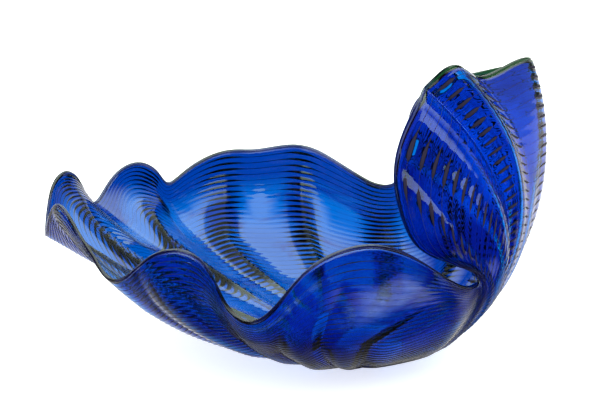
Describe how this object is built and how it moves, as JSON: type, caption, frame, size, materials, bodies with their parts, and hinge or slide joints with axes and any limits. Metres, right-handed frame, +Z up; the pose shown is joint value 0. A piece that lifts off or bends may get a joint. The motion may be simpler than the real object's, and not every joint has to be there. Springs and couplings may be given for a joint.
{
  "type": "art glass bowl",
  "caption": "Ruffled blown glass bowl with a wide ribbed dish and a tall curled wing, dark lip wrap and wound thread, on a small flat ground base.",
  "frame": {"origin": "centre of the flat ground base, on the surface that the bowl stands on", "axes": "+X from the dish towards the tall wing, +Y towards the upright back wall, +Z up"},
  "size_m": [0.5039, 0.3638, 0.3215],
  "materials": {
    "blue_glass": "polished, transparent cobalt blue",
    "lip_glass": "polished, very dark green",
    "thread_glass": "polished, dark brown",
    "base_glass": "ground and polished, pale blue"
  },
  "bodies": {
    "root": {"bowl_shell": "blue_glass", "lip_wrap": "lip_glass", "thread_wrap": "thread_glass", "base_disc": "base_glass"}
  },
  "joints": []
}
